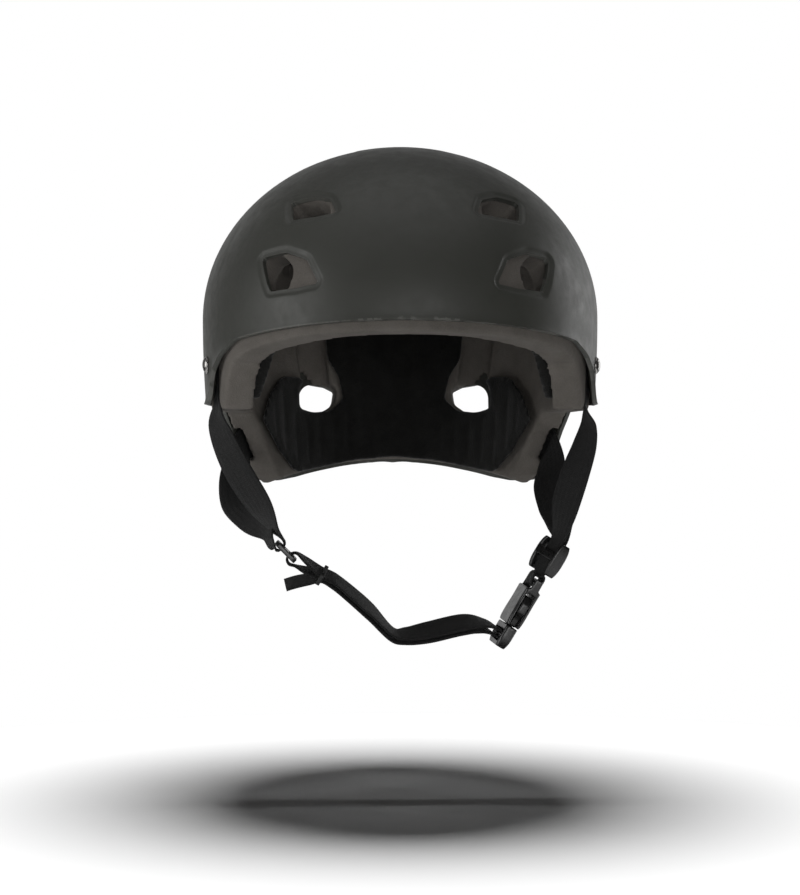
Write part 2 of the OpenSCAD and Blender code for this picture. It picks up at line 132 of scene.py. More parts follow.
RIGHT_ROUTE = [
    ((-102.4, -28, -12), (-0.2, 0.98, 0)), ((-101.8, -28, -28), (-0.2, 0.98, 0)),
    ((-100.7, -27.8, -41), (-0.19, 0.98, 0)), ((-99.6, -25, -55), (-0.6, 0.8, -0.2)),
    ((-90.8, -21, -76), (-0.8, 0.6, -0.3)), ((-79.5, -16, -95), (-0.7, 0.65, -0.3)),
    ((-71, -12, -109.5), (-0.3, 0.95, -0.1)), ((-64.7, -10, -117), (0, 1, 0)),
    ((-65.6, -10, -120.6), (0, 1, 0)), ((-68.6, -10, -121.8), (0, 1, 0)),
    ((-71.2, -9, -117.5), (-0.2, 0.98, 0)), ((-74.5, -2, -110), (-0.4, 0.88, -0.2)),
    ((-83.5, 8, -103.5), (-0.78, 0.4, -0.4)), ((-91, 24, -97.5), (-0.97, 0.1, -0.1)),
    ((-93.3, 40, -86.5), (-0.95, -0.1, 0.25)), ((-92, 53.5, -75), (-0.75, -0.35, 0.55)),
    ((-89.7, 63.6, -64.3), (-0.37, -0.46, 0.81)), ((-87.4, 70, -60.5), (-0.37, -0.46, 0.81)),
    ((-85.1, 76, -57), (-0.37, -0.46, 0.81)), ((-82.6, 81, -54), (-0.37, -0.46, 0.81))]
CHIN_ROUTE = [
    ((-47.2, -10, -134.6), (0, 0.97, 0.2)), ((-53, -10, -132.8), (0, 0.98, 0.15)),
    ((-58.3, -10, -130.6), (0, 1, 0)), ((-61.9, -10, -129.4), (0, 1, 0)),
    ((-63, -10, -126.4), (0, 1, 0)), ((-60.9, -10, -124), (0, 1, 0)),
    ((-57.4, -10, -123.6), (0, 1, 0)), ((-52.5, -10, -127.4), (0, 0.98, 0.15)),
    ((-43.3, -10, -134.6), (0, 0.95, 0.3)), ((-35.8, -10, -138.4), (0, 0.95, 0.3)),
    ((-26.2, -10, -146.2), (0, 0.93, 0.35)), ((-16, -10, -155.4), (0, 0.93, 0.35)),
    ((-4.5, -10, -167.2), (0, 0.98, 0.2)), ((3, -10, -168.4), (0, 0.95, 0.3)),
    ((15, -10, -166.4), (0, 0.9, 0.42)), ((34.5, -10, -162.2), (0, 0.9, 0.42)),
    ((46, -10.2, -162.6), (0, 0.98, 0.2)),
    (PLUG_BAR_AT + 5 * BUCKLE_OUT + 1.9 * HANG, -BUCKLE_SIDE),
    *round_bar(PLUG_BAR_AT, 2.3, 90, 270, 4, -BUCKLE_SIDE),
    (PLUG_BAR_AT + 5 * BUCKLE_OUT - 1.9 * HANG, -BUCKLE_SIDE),
    ((44, -10.2, -165.6), (0, 0.98, 0.2)), ((34, -10, -164.6), (0, 0.9, 0.42)),
    ((16, -10, -168.7), (0, 0.9, 0.42)), ((3, -10, -170.8), (0, 0.95, 0.3)),
    ((-5.8, -10, -169.6), (0, 0.98, 0.2)), ((-17.8, -10, -157), (0, 0.93, 0.35)),
    ((-27.7, -10, -147.9), (0, 0.93, 0.35)), ((-37, -10, -140.5), (0, 0.95, 0.3)),
    ((-44, -10, -137.3), (0, 0.97, 0.2)), ((-51, -10, -138), (0, 0.96, 0.27)),
    ((-58, -10, -139.4), (0, 0.95, 0.3)), ((-64, -10, -141.2), (0, 0.95, 0.3))]


# ---------------------------------------------------------------- mesh helpers
def new_object(name, vertices, faces, material):
    """A smooth-shaded mesh object from vertices in millimetres."""
    mesh = bpy.data.meshes.new(name)
    mesh.from_pydata((np.asarray(vertices) * MM).tolist(), [], [list(f) for f in faces])
    mesh.shade_smooth()
    mesh.materials.append(material)
    obj = bpy.data.objects.new(name, mesh)
    bpy.context.scene.collection.objects.link(obj)
    return obj


def edit_mesh(obj, change):
    """Runs change(bm) on the object's mesh."""
    bm = bmesh.new()
    bm.from_mesh(obj.data)
    change(bm)
    bm.to_mesh(obj.data)
    bm.free()
    obj.data.shade_smooth()


def apply_modifiers(obj):
    """Replaces the object's mesh by what its modifiers make of it."""
    graph = bpy.context.evaluated_depsgraph_get()
    made = bpy.data.meshes.new_from_object(obj.evaluated_get(graph))
    obj.modifiers.clear()
    obj.data = made


def modify(obj, kind, **settings):
    modifier = obj.modifiers.new(kind.title(), kind)
    for key, value in settings.items():
        setattr(modifier, key, value)
    return modifier


def vertices_of(mesh):
    flat = np.zeros(len(mesh.vertices) * 3)
    mesh.vertices.foreach_get("co", flat)
    return flat.reshape(-1, 3) / MM


def set_vertices(mesh, points):
    mesh.vertices.foreach_set("co", (points * MM).ravel())
    mesh.update()


def rows_unit(v):
    return v / np.maximum(np.linalg.norm(v, axis=-1, keepdims=True), 1e-12)


def place(obj, body, slot, *nodes):
    """The piece rides on a body and stands for CAD nodes, which are hidden; its slot is not used.
    """
    if body:
        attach(obj, body)
    if nodes:
        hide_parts(*nodes)
    return obj


# ---------------------------------------------------------------- materials
def new_material(name, base, rough, metallic=0.0, specular=0.5):
    """A material, its shader and its node tree, ready for texture nodes."""
    mat = bpy.data.materials.new(name)
    mat.use_nodes = True
    shader = mat.node_tree.nodes["Principled BSDF"]
    shader.inputs["Base Color"].default_value = (*base, 1)
    shader.inputs["Roughness"].default_value = rough
    shader.inputs["Metallic"].default_value = metallic
    shader.inputs["Specular IOR Level"].default_value = specular
    return mat, shader, mat.node_tree


def add_node(tree, kind, settings=(), **inputs):
    """A node; settings are its own properties, inputs are values or the sockets that feed it."""
    node = tree.nodes.new(kind)
    for key, value in dict(settings).items():
        setattr(node, key, value)
    for key, value in inputs.items():
        socket = node.inputs[int(key[1:]) if key[0] == "i" and key[1:].isdigit() else key]
        if isinstance(value, bpy.types.NodeSocket):
            tree.links.new(value, socket)
        else:
            socket.default_value = value
    return node


def object_place(tree):
    return add_node(tree, "ShaderNodeTexCoord").outputs["Object"]


def noise(tree, where, per_mm, detail=2.0, roughness=0.5):
    """Noise with about per_mm features to the millimetre."""
    return add_node(tree, "ShaderNodeTexNoise", Vector=where, Scale=per_mm / MM, Detail=detail,
                    Roughness=roughness).outputs["Fac"]


def ramp(tree, factor, low, high, start=0.3, stop=0.7):
    """A colour that goes from low to high as the factor goes from start to stop."""
    node = add_node(tree, "ShaderNodeValToRGB", Fac=factor)
    node.color_ramp.elements[0].position, node.color_ramp.elements[1].position = start, stop
    node.color_ramp.elements[0].color = (*low, 1)
    node.color_ramp.elements[1].color = (*high, 1)
    return node.outputs["Color"]


def spread(tree, factor, low, high, start=0.3, stop=0.7):
    """A number that goes from low to high as the factor goes from start to stop."""
    return add_node(tree, "ShaderNodeMapRange", i0=factor, i1=start, i2=stop, i3=low,
                    i4=high).outputs["Result"]


def combine(tree, kind, a, b):
    return add_node(tree, "ShaderNodeMath", {"operation": kind}, i0=a, i1=b).outputs[0]


def bump(tree, shader, height, depth_mm, strength=1.0):
    node = add_node(tree, "ShaderNodeBump", Height=height, Distance=depth_mm * MM,
                    Strength=strength)
    tree.links.new(node.outputs["Normal"], shader.inputs["Normal"])


def feed(tree, shader, **inputs):
    for key, value in inputs.items():
        tree.links.new(value, shader.inputs[key.replace("_", " ")])


def shell_paint():
    """Matte moulded ABS: fine spark-eroded grain, faint handling marks, paler moulded edges."""
    mat, shader, tree = new_material("Shell_ABS", (0.040, 0.041, 0.035), 0.5, specular=0.35)
    where = object_place(tree)
    cloudy = noise(tree, where, 0.012, 3.0)
    grain = noise(tree, where, 2.6, 2.0, 0.6)
    worn = add_node(tree, "ShaderNodeNewGeometry").outputs["Pointiness"]
    tone = ramp(tree, cloudy, (0.036, 0.037, 0.032), (0.044, 0.045, 0.039))
    edge = add_node(tree, "ShaderNodeMix", {"data_type": "RGBA"},
                    Factor=spread(tree, worn, 0.0, 0.6, 0.53, 0.60), A=tone, B=(0.11, 0.11, 0.1, 1))
    scuffs = noise(tree, where, 0.12, 6.0, 0.7)
    feed(tree, shader, Base_Color=edge.outputs["Result"],
         Roughness=spread(tree, scuffs, 0.46, 0.6, 0.35, 0.7))
    bump(tree, shader, grain, 0.05, 0.5)
    return mat


def foam_stuff():
    """Closed-cell EVA: a skin of tiny cells, darker where it has been handled."""
    mat, shader, tree = new_material("Foam_EVA", (0.10, 0.092, 0.082), 0.9, specular=0.2)
    where = object_place(tree)
    cells = add_node(tree, "ShaderNodeTexVoronoi", Vector=where, Scale=1.1 / MM).outputs["Distance"]
    mottled = noise(tree, where, 0.05, 5.0, 0.65)
    fine = noise(tree, where, 1.8, 3.0)
    tone = combine(tree, "ADD", combine(tree, "MULTIPLY", fine, 0.4),
                   combine(tree, "MULTIPLY", mottled, 0.6))
    feed(tree, shader, Base_Color=ramp(tree, tone, (0.078, 0.071, 0.063), (0.125, 0.115, 0.104)))
    dents = combine(tree, "ADD", cells, combine(tree, "MULTIPLY", mottled, 3.0))
    bump(tree, shader, dents, 0.18, 0.6)
    return mat


def pad_cloth():
    """Short-pile loop fabric over foam."""
    mat, shader, tree = new_material("Pad_fabric", (0.007, 0.007, 0.006), 0.95, specular=0.15)
    shader.inputs["Sheen Weight"].default_value = 0.12
    shader.inputs["Sheen Roughness"].default_value = 0.5
    where = object_place(tree)
    pile = add_node(tree, "ShaderNodeTexVoronoi", Vector=where, Scale=1.4 / MM).outputs["Distance"]
    nap = noise(tree, where, 0.09, 4.0, 0.6)
    feed(tree, shader, Base_Color=ramp(tree, nap, (0.003, 0.003, 0.0027), (0.007, 0.007, 0.0065)))
    bump(tree, shader, combine(tree, "ADD", pile, nap), 0.3, 0.7)
    return mat


def webbing_stuff():
    """Woven polypropylene: herringbone columns across the width, from the strap's own UVs in mm."""
    mat, shader, tree = new_material("Webbing", (0.009, 0.009, 0.009), 0.7, specular=0.3)
    shader.inputs["Sheen Weight"].default_value = 0.03
    mapped = add_node(tree, "ShaderNodeTexCoord").outputs["UV"]
    uv = add_node(tree, "ShaderNodeSeparateXYZ", Vector=mapped)
    across, along = uv.outputs["X"], uv.outputs["Y"]
    column = combine(tree, "PINGPONG", across, 1.6)
    twill = combine(tree, "PINGPONG", combine(tree, "ADD", column, along), 0.55)
    ribs = combine(tree, "PINGPONG", across, 0.4)
    height = combine(tree, "ADD", twill, combine(tree, "MULTIPLY", ribs, 0.5))
    fuzz = noise(tree, object_place(tree), 0.9, 3.0)
    # The colour follows the weave's height times random fuzz: painted shade, darker in the weave's
    # hollows, with random tone on top.
    feed(tree, shader, Base_Color=ramp(tree, combine(tree, "MULTIPLY", height, fuzz),
                                       (0.001, 0.001, 0.001), (0.013, 0.013, 0.013), 0.05, 0.5),
         Roughness=spread(tree, fuzz, 0.6, 0.85))
    bump(tree, shader, height, 0.45, 0.8)
    return mat


def fitting_plastic(name, tone, rough):
    """Acetal: satin, with faint flow marks."""
    mat, shader, tree = new_material(name, (tone,) * 3, rough, specular=0.5)
    where = object_place(tree)
    flow = noise(tree, where, 0.35, 4.0, 0.6)
    grain = noise(tree, where, 3.5, 2.0)
    feed(tree, shader, Base_Color=ramp(tree, flow, (tone * 0.8,) * 3, (tone * 1.25,) * 3),
         Roughness=spread(tree, flow, rough - 0.06, rough + 0.1))
    bump(tree, shader, grain, 0.03, 0.6)
    return mat


def hook_tape():
    """Rows of tiny hooks."""
    mat, shader, tree = new_material("Hook_tape", (0.012, 0.012, 0.012), 0.6)
    where = object_place(tree)
    hooks = add_node(tree, "ShaderNodeTexVoronoi", Vector=where, Scale=1.0 / MM,
                     Randomness=0.15).outputs["Distance"]
    feed(tree, shader, Base_Color=ramp(tree, hooks, (0.02, 0.02, 0.02), (0.006, 0.006, 0.006)))
    bump(tree, shader, hooks, 0.5, 0.9)
    return mat


def steel():
    """Bright rivet steel with fine turned scratches."""
    mat, shader, tree = new_material("Rivet_steel", (0.3, 0.3, 0.29), 0.35, metallic=1.0)
    where = object_place(tree)
    marks = noise(tree, where, 0.9, 6.0, 0.7)
    feed(tree, shader, Base_Color=ramp(tree, marks, (0.2, 0.2, 0.19), (0.36, 0.35, 0.34)),
         Roughness=spread(tree, marks, 0.2, 0.42))
    bump(tree, shader, marks, 0.02, 0.5)
    return mat


SHELL, FOAM, PAD, WEB = shell_paint(), foam_stuff(), pad_cloth(), webbing_stuff()
HOOKS, STEEL = hook_tape(), steel()
PLASTIC = fitting_plastic("Fitting_plastic", 0.007, 0.3)
RUBBER = fitting_plastic("Keeper_rubber", 0.006, 0.6)


# ---------------------------------------------------------------- the dome and its flat pattern
GIRTH = 115.0  # radius of the ball whose upper half the flat pattern is laid out from
EQUATOR = GIRTH * math.pi / 2  # the widest level's distance from the pattern's middle


def dome_point(azimuth, elevation, depth=0.0):
    """Points on the dome, from azimuths round from the brow and elevations, in radians."""
    rise = np.where(elevation > 0, RISE, TUCK) - depth
    level = np.cos(elevation)
    return CENTRE + np.stack([(HALF_W - depth) * np.sin(azimuth) * level,
                              -(HALF_L - depth) * np.cos(azimuth) * level,
                              rise * np.sin(elevation)], -1)


def dome_axes(points):
    """The half-axes of the ellipsoid that each point belongs to."""
    ones = np.ones(len(points))
    return np.stack([HALF_W * ones, HALF_L * ones,
                     np.where(points[:, 2] > CENTRE[2], RISE, TUCK)], -1)


def dome_normal(points):
    return rows_unit((points - CENTRE) / dome_axes(points) ** 2)


def dome_depth(points):
    """How far inside the dome's outer face each point is, about."""
    out = points - CENTRE
    scaled = np.linalg.norm(out / dome_axes(points), axis=1)
    return np.linalg.norm(out, axis=1) * (1 / scaled - 1) * np.abs(
        (dome_normal(points) * rows_unit(out)).sum(1))


def unroll(points):
    """Dome points laid out on a flat pattern, the crown at its middle."""
    out = (points - CENTRE) / dome_axes(points)
    azimuth = np.arctan2(out[:, 0], -out[:, 1])
    rise = np.clip(out[:, 2], -1, 1)
    reach = np.where(rise > 0, GIRTH * np.arccos(rise), EQUATOR - TUCK * rise)
    return reach[:, None] * np.stack([np.sin(azimuth), -np.cos(azimuth)], -1)


def roll_up(flat):
    reach = np.linalg.norm(flat, axis=1)
    azimuth = np.arctan2(flat[:, 0], -flat[:, 1])
    elevation = np.where(reach < EQUATOR, math.pi / 2 - reach / GIRTH,
                         -np.arcsin(np.clip((reach - EQUATOR) / TUCK, 0, 0.9)))
    return dome_point(azimuth, elevation)


def spaced(points, step, closed=False):
    """The same path with points about step apart."""
    path = np.vstack([points, points[:1]]) if closed else np.asarray(points, float)
    along = np.r_[0, np.cumsum(np.linalg.norm(np.diff(path, axis=0), axis=1))]
    count = max(2, round(along[-1] / step))
    at = np.linspace(0, along[-1], count + 1)[:count + (0 if closed else 1)]
    return np.stack([np.interp(at, along, path[:, k]) for k in range(path.shape[1])], -1)


RIM_SOFTEN = 3  # half the width, in points, of the window that rounds the rim's corners


def rim_pattern():
    """The shell's lower edge as a closed loop on the flat pattern."""
    side = spaced(SHELL_EDGE, 1.0)
    window = np.hanning(2 * RIM_SOFTEN + 3)[1:-1]
    padded = np.pad(side, ((RIM_SOFTEN, RIM_SOFTEN), (0, 0)), mode="edge")
    side = np.stack([np.convolve(padded[:, k], window / window.sum(), "valid") for k in (0, 1)], -1)
    y, z = side[:, 0], side[:, 1]
    elevation = np.arcsin((z - CENTRE[2]) / TUCK)
    turn = -(y - CENTRE[1]) / (HALF_L * np.cos(elevation))
    kept = np.abs(turn) < 0.9995
    azimuth = np.r_[0, np.arccos(turn[kept]), math.pi]
    elevation = np.r_[elevation[kept][0], elevation[kept], elevation[kept][-1]]
    half = unroll(dome_point(azimuth, elevation))
    other = half[-2:0:-1] * (-1, 1)
    return spaced(np.vstack([half, other]), 2.0, closed=True)


# ---------------------------------------------------------------- vents
LIP_RINGS = ((4.6, 0.0), (3.8, 0.04), (3.1, 0.3), (2.5, 0.7), (1.8, 0.95), (1.1, 1.05), (0.5, 1.1),
             (0.0, 1.15))  # distance out from the opening, and how deep the lip has sunk there


def fin_outline(width, height):
    """The vent's fin shape as points and outward normals: a hull of five circles."""
    centres = np.array([(-width / 2 + 2, height / 2 - 2.8),
                        (-width * 0.28 + 2.2, -height / 2 + 2.2),
                        (width / 2 - 1.5, -height / 2 + 3.6), (-0.12 * width, 0),
                        (0.17 * width, -0.085 * height)])
    radii = np.array([2, 2.2, 1.5, 0.5 * height, 0.4 * height])
    turns = np.linspace(0, 2 * math.pi, 56, endpoint=False)
    normals = np.stack([np.cos(turns), np.sin(turns)], -1)
    best = (centres @ normals.T + radii[:, None]).argmax(0)
    rows = np.hstack([centres[best] + radii[best, None] * normals, normals])
    filled = []
    for a, b in zip(rows, np.roll(rows, -1, 0)):
        pieces = max(1, math.ceil(np.linalg.norm(b[:2] - a[:2]) / 1.8))
        filled += [a + (b - a) * k / pieces for k in range(pieces)]
    filled = np.array(filled)
    return filled[:, :2], rows_unit(filled[:, 2:])


def vent_frame(vent):
    """Place, axes and mirrorings of a vent on the -X side."""
    at = dome_point(math.radians(vent[0]), np.array(math.radians(vent[1])))
    out = dome_normal(at[None])[0] * (REAR_TURN if vent[0] > 90 else 1, 1, 1)
    out = rows_unit(out) * (-1, 1, 1)
    level = rows_unit(np.array([-out[1], out[0], 0]))
    up = np.cross(out, level)
    x_axis = cosd(vent[4]) * level + sind(vent[4]) * up
    y_axis = cosd(vent[4]) * up - sind(vent[4]) * level
    flips = (-1 if vent[0] > 90 else 1, -1 if vent[3] < 0 else 1)
    return at * (-1, 1, 1), x_axis, y_axis, out, flips


def onto_dome(points, direction):
    """Each point moved along direction until it is on the dome."""
    for _ in range(8):
        axes = dome_axes(points)
        out = (points - CENTRE) / axes
        miss = (out ** 2).sum(1) - 1
        slope = (2 * out / axes) @ direction
        points = points - (miss / slope)[:, None] * direction
    return points


def vent_rings(vent, side):
    """Rings of dome points round a vent, outermost first."""
    at, x_axis, y_axis, out, flips = vent_frame(vent)
    outline, normals = fin_outline(vent[2], abs(vent[3]))
    rings = []
    for grow, _ in LIP_RINGS:
        flat = (outline + grow * normals) * flips
        ring = onto_dome(at + flat[:, :1] * x_axis + flat[:, 1:] * y_axis, out)
        rings.append(ring * (-side, 1, 1))
    return rings


# ---------------------------------------------------------------- the shell
def inside(points, loop):
    """Which points are inside a closed loop."""
    a, b = loop, np.roll(loop, -1, 0)
    x, y = points[:, :1], points[:, 1:]
    spans = (a[:, 1] > y) != (b[:, 1] > y)
    cross = a[:, 0] + (y - a[:, 1]) * (b[:, 0] - a[:, 0]) / (b[:, 1] - a[:, 1] + 1e-12)
    return (spans & (x < cross)).sum(1) % 2 == 1


def nearest(points, loop):
    """Each point's distance to a loop's points."""
    return np.concatenate([np.sqrt(((part[:, None] - loop) ** 2).sum(2).min(1))
                           for part in np.array_split(points, 20)])


def fill_points(rim, holes):
    """Points over the shell's flat pattern: rows along the rim, then an even grid."""
    ahead = rows_unit(np.roll(rim, -1, 0) - np.roll(rim, 1, 0))
    inward = np.stack([-ahead[:, 1], ahead[:, 0]], -1)
    if not inside(rim[:1] + inward[:1], rim)[0]:
        inward = -inward
    depths = (1.2, 2.6, 4.4, 6.6)
    rows = [rim + d * inward for d in depths]
    rows = [r[nearest(r, rim) > 0.7 * d] for r, d in zip(rows, depths)]
    step = 4.0
    reach = math.ceil(np.abs(rim).max() / step)
    lines = [(step * (i + 0.5 * (j % 2)), step * 0.866 * j)
             for j in range(-reach - 40, reach + 40) for i in range(-reach - 1, reach + 1)]
    grid = np.array(lines)
    grid = grid[inside(grid, rim)]
    grid = grid[nearest(grid, rim) > 8.0]
    points = np.vstack(rows + [grid])
    for hole in holes:
        points = points[~inside(points, hole)]
        points = points[nearest(points, hole) > 2.0]
    return points


def moulded(points, rim):
    """Dome points with the rim's rolled lip: a slight flare, stronger on the ear tabs."""
    off_rim = nearest(unroll(points), rim)
    tab = np.exp(-((points[:, 1] + 36) / 22) ** 2) * (points[:, 2] < -4)
    flare = (0.5 + 2.6 * tab) * np.clip(1 - off_rim / (4 + 8 * tab), 0, 1) ** 2
    return points + dome_normal(points) * flare[:, None]


def shell_surface():
    """Vertices and faces of the shell's outer face, its vents' sunk lips included."""
    rim = rim_pattern()
    vents = [vent_rings(v, side) for side in (-1, 1) for v in VENTS]
    holes = [unroll(rings[0]) for rings in vents]
    loops = [rim] + holes
    flat = np.vstack(loops + [fill_points(rim, holes)])
    edges, start = [], 0
    for loop in loops:
        n = len(loop)
        edges += [(start + k, start + (k + 1) % n) for k in range(n)]
        start += n
    made = geometry.delaunay_2d_cdt([Vector(p) for p in flat], edges, [], 0, 1e-4)
    flat = np.array([tuple(p) for p in made[0]])
    faces = np.array([f for f in made[2] if len(f) == 3])
    middles = flat[faces].mean(1)
    keep = inside(middles, rim)
    for hole in holes:
        keep &= ~inside(middles, hole)
    vertices = [moulded(roll_up(flat), rim)]
    faces = [tuple(f) for f in faces[keep]]
    start = len(flat)
    for rings in vents:
        n = len(rings[0])
        for (_, sink), ring in zip(LIP_RINGS, rings):
            vertices.append(ring - dome_normal(ring) * sink)
        for r in range(len(rings) - 1):
            a = start + r * n
            faces += [(a + k, a + (k + 1) % n, a + n + (k + 1) % n, a + n + k) for k in range(n)]
        start += n * len(rings)
    return np.vstack(vertices), faces


def build_shell():
    vertices, faces = shell_surface()
    shell = new_object("Shell", vertices, faces, SHELL)

    def weld(bm):
        bmesh.ops.remove_doubles(bm, verts=bm.verts, dist=0.05 * MM)
        bmesh.ops.delete(bm, geom=[v for v in bm.verts if not v.link_faces], context="VERTS")
        bmesh.ops.recalc_face_normals(bm, faces=bm.faces)
        top = max(bm.faces, key=lambda f: f.calc_center_median().z)
        if top.normal.z < 0:
            bmesh.ops.reverse_faces(bm, faces=bm.faces)

    edit_mesh(shell, weld)
    modify(shell, "SOLIDIFY", thickness=WALL * MM, offset=-1, use_even_offset=True)
    modify(shell, "BEVEL", width=0.75 * MM, segments=3, limit_method="ANGLE",
           angle_limit=math.radians(48))
    apply_modifiers(shell)
    shell.data.shade_smooth()
    return place(shell, "helmet", "shell", "outer_shell")


# ---------------------------------------------------------------- foam and pads
def copy_of(node, name, material):
    """A welded copy of a CAD node's mesh as a new piece."""
    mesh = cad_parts[node].data.copy()
    mesh.name = name
    mesh.materials.clear()
    mesh.materials.append(material)
    obj = bpy.data.objects.new(name, mesh)
    bpy.context.scene.collection.objects.link(obj)
    edit_mesh(obj, lambda bm: bmesh.ops.remove_doubles(bm, verts=bm.verts, dist=0.02 * MM))
    return obj


def remesh(obj, voxel, smooth, repeats):
    """An even mesh of the same solid, its corners softened."""
    modify(obj, "REMESH", mode="VOXEL", voxel_size=voxel * MM, use_smooth_shade=True)
    modify(obj, "SMOOTH", factor=smooth, iterations=repeats)
    apply_modifiers(obj)


def build_liner():
    for node, name in (("liner_crown", "Liner_crown"), ("liner_front_band", "Liner_front_band"),
                       ("liner_neck_band", "Liner_neck_band")):
        liner = copy_of(node, name, FOAM)
        remesh(liner, 1.5, 0.5, 4)
        place(liner, "helmet", "foam", node)


CLOTH_FRAMES = 14
PAD_PRESSURE, PAD_CAP = 3.0, 1.6  # what inflates a pad's cover, and the furthest it may move


def puff(obj, pressure, cap):
    """Inflates a pad's cover by cloth simulation, no point moving further than cap."""
    rest = vertices_of(obj.data)
    cloth = obj.modifiers.new("Cloth", "CLOTH")
    cloth.settings.use_pressure = True
    cloth.settings.uniform_pressure_force = pressure
    cloth.settings.quality = 6
    cloth.settings.mass = 0.2
    cloth.settings.effector_weights.gravity = 0.0
    cloth.point_cache.frame_start, cloth.point_cache.frame_end = 1, CLOTH_FRAMES
    for step in range(1, CLOTH_FRAMES + 1):
        bpy.context.scene.frame_set(step)
    graph = bpy.context.evaluated_depsgraph_get()
    moved = vertices_of(obj.evaluated_get(graph).data)
    obj.modifiers.clear()
    bpy.context.scene.frame_set(1)
    shift = moved - rest
    shift -= shift.mean(0)
    length = np.linalg.norm(shift, axis=1, keepdims=True)
    set_vertices(obj.data, rest + shift * np.minimum(1, cap / np.maximum(length, 1e-9)))


def lie_on_foam(obj):
    """Keeps the pad's back on the face of the foam."""
    points = vertices_of(obj.data)
    short = np.clip(FOAM_IN + 0.1 - dome_depth(points), 0, None)
    set_vertices(obj.data, points - dome_normal(points) * short[:, None])


PADS = (("crown_pad", "Crown_pad", 0.5), ("front_pad", "Front_pad", 0.5),
        ("rear_pad", "Rear_pad", 0.6), ("temple_pad_left", "Temple_pad_left", 0.5),
        ("temple_pad_right", "Temple_pad_right", 0.5))  # CAD node, piece, how full it is


def build_pads():
    for node, name, fill in PADS:
        pad = copy_of(node, name, PAD)
        remesh(pad, 1.3, 0.5, 12)
        puff(pad, PAD_PRESSURE, PAD_CAP)
        lie_on_foam(pad)
        place(pad, "helmet", "pad", node)


# ---------------------------------------------------------------- webbing
SECTION = ((-1.0, 0.0), (-0.985, 0.6), (-0.945, 0.93), (-0.5, 1.0), (0.0, 1.0), (0.5, 1.0),
           (0.945, 0.93), (0.985, 0.6))  # half of the strap's section, across and out
RIB_PITCH = 1.15


def smooth_route(route, count=10):
    """Catmull-Rom curve through the route's points and the ways their width runs."""
    rows = np.array([np.concatenate([point, side]) for point, side in route])
    ends = np.vstack([rows[:1], rows, rows[-1:]])
    out = []
    for a, b, c, d in zip(ends, ends[1:], ends[2:], ends[3:]):
        for t in np.arange(count) / count:
            out.append(0.5 * (2 * b + (c - a) * t + (2 * a - 5 * b + 4 * c - d) * t ** 2
                              + (3 * b - a - 3 * c + d) * t ** 3))
    return np.array(out + [rows[-1]])


def gathered(centre, fittings):
    """How wide the webbing is along its length: it bunches up inside the fittings."""
    width = np.ones(len(centre))
    for at, reach, share in fittings:
        off = np.linalg.norm(centre - at, axis=1) / reach
        width -= (1 - share) * np.exp(-off ** 4)
    return width


def build_webbing(name, route, fittings):
    """A woven strap swept along its route, with ribbed faces and a nubbly selvage."""
    path = smooth_route(route)
    along = np.r_[0, np.cumsum(np.linalg.norm(np.diff(path[:, :3], axis=0), axis=1))]
    at = np.arange(0, along[-1], RIB_PITCH / 2)
    path = np.stack([np.interp(at, along, path[:, k]) for k in range(6)], -1)
    centre, run = path[:, :3], rows_unit(np.gradient(path[:, :3], axis=0))
    flat = rows_unit(np.cross(run, path[:, 3:]))
    side = np.cross(flat, run)
    section = np.array(SECTION + tuple((-u, -h) for u, h in SECTION))
    rib = np.where(np.arange(len(at)) % 2 == 0, 1.0, 0.9)
    selvage = np.where(np.arange(len(at)) % 2 == 0, 1.0, 0.985)
    selvage *= gathered(centre, fittings)
    rings = (centre[:, None] + (section[:, 0] * WEB_W / 2)[None, :, None] * side[:, None]
             * selvage[:, None, None]
             + (section[:, 1] * WEB_T / 2)[None, :, None] * flat[:, None] * rib[:, None, None])
    n, m = len(at), len(section)
    faces = [(i * m + k, i * m + (k + 1) % m, (i + 1) * m + (k + 1) % m, (i + 1) * m + k)
             for i in range(n - 1) for k in range(m)]
    faces += [tuple(range(m))[::-1], tuple((n - 1) * m + k for k in range(m))]
    strap = new_object(name, rings.reshape(-1, 3), faces, WEB)
    uv = strap.data.uv_layers.new(name="Weave")
    index = np.zeros(len(strap.data.loops), int)
    strap.data.loops.foreach_get("vertex_index", index)
    across = section[index % m, 0] * WEB_W / 2
    uv.data.foreach_set("uv", np.stack([across, at[index // m]], -1).ravel())
    edit_mesh(strap, lambda bm: bmesh.ops.recalc_face_normals(bm, faces=bm.faces))
    return strap


def build_straps():
    in_buckle = (BAR_AT + 13 * HANG, 24, 0.7)
    left = build_webbing("Side_strap_left", LEFT_ROUTE, [in_buckle])
    right = build_webbing("Side_strap_right", RIGHT_ROUTE, [(ADJUSTER_BAR_AT, 12, 0.9)])
    for strap, node, bar, up in ((left, "side_strap_left", BAR_AT, HANG),
                                 (right, "side_strap_right", ADJUSTER_BAR_AT, ADJUSTER_UP)):
        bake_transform(strap)
        place(strap, None, "webbing", node)
    chin = build_webbing("Chin_strap", CHIN_ROUTE, [(PLUG_BAR_AT, 12, 0.85)])
    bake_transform(chin)
    place(chin, None, "webbing", "chin_strap")


# ---------------------------------------------------------------- hardware
def moulded_fitting(node, name, body, slot, material, centre, facing, shape, voxel=0.45):
    """A copy of a CAD fitting as it comes from its mould: edges rounded, then shaped.

    shape(along, across, out) gives the scales across and out, for a point's place in the
    fitting's own frame about centre; along runs up HANG and out runs along facing.
    """
    obj = copy_of(node, name, material)
    remesh(obj, voxel, 0.5, 9)
    across = np.cross(facing, HANG)
    from_centre = vertices_of(obj.data) - centre
    parts = [from_centre @ axis for axis in (HANG, across, facing)]
    wider, deeper = shape(*parts)
    set_vertices(obj.data, centre + parts[0][:, None] * HANG + (parts[1] * wider)[:, None] * across
                 + (parts[2] * deeper)[:, None] * facing)
    return place(obj, body, slot, node)


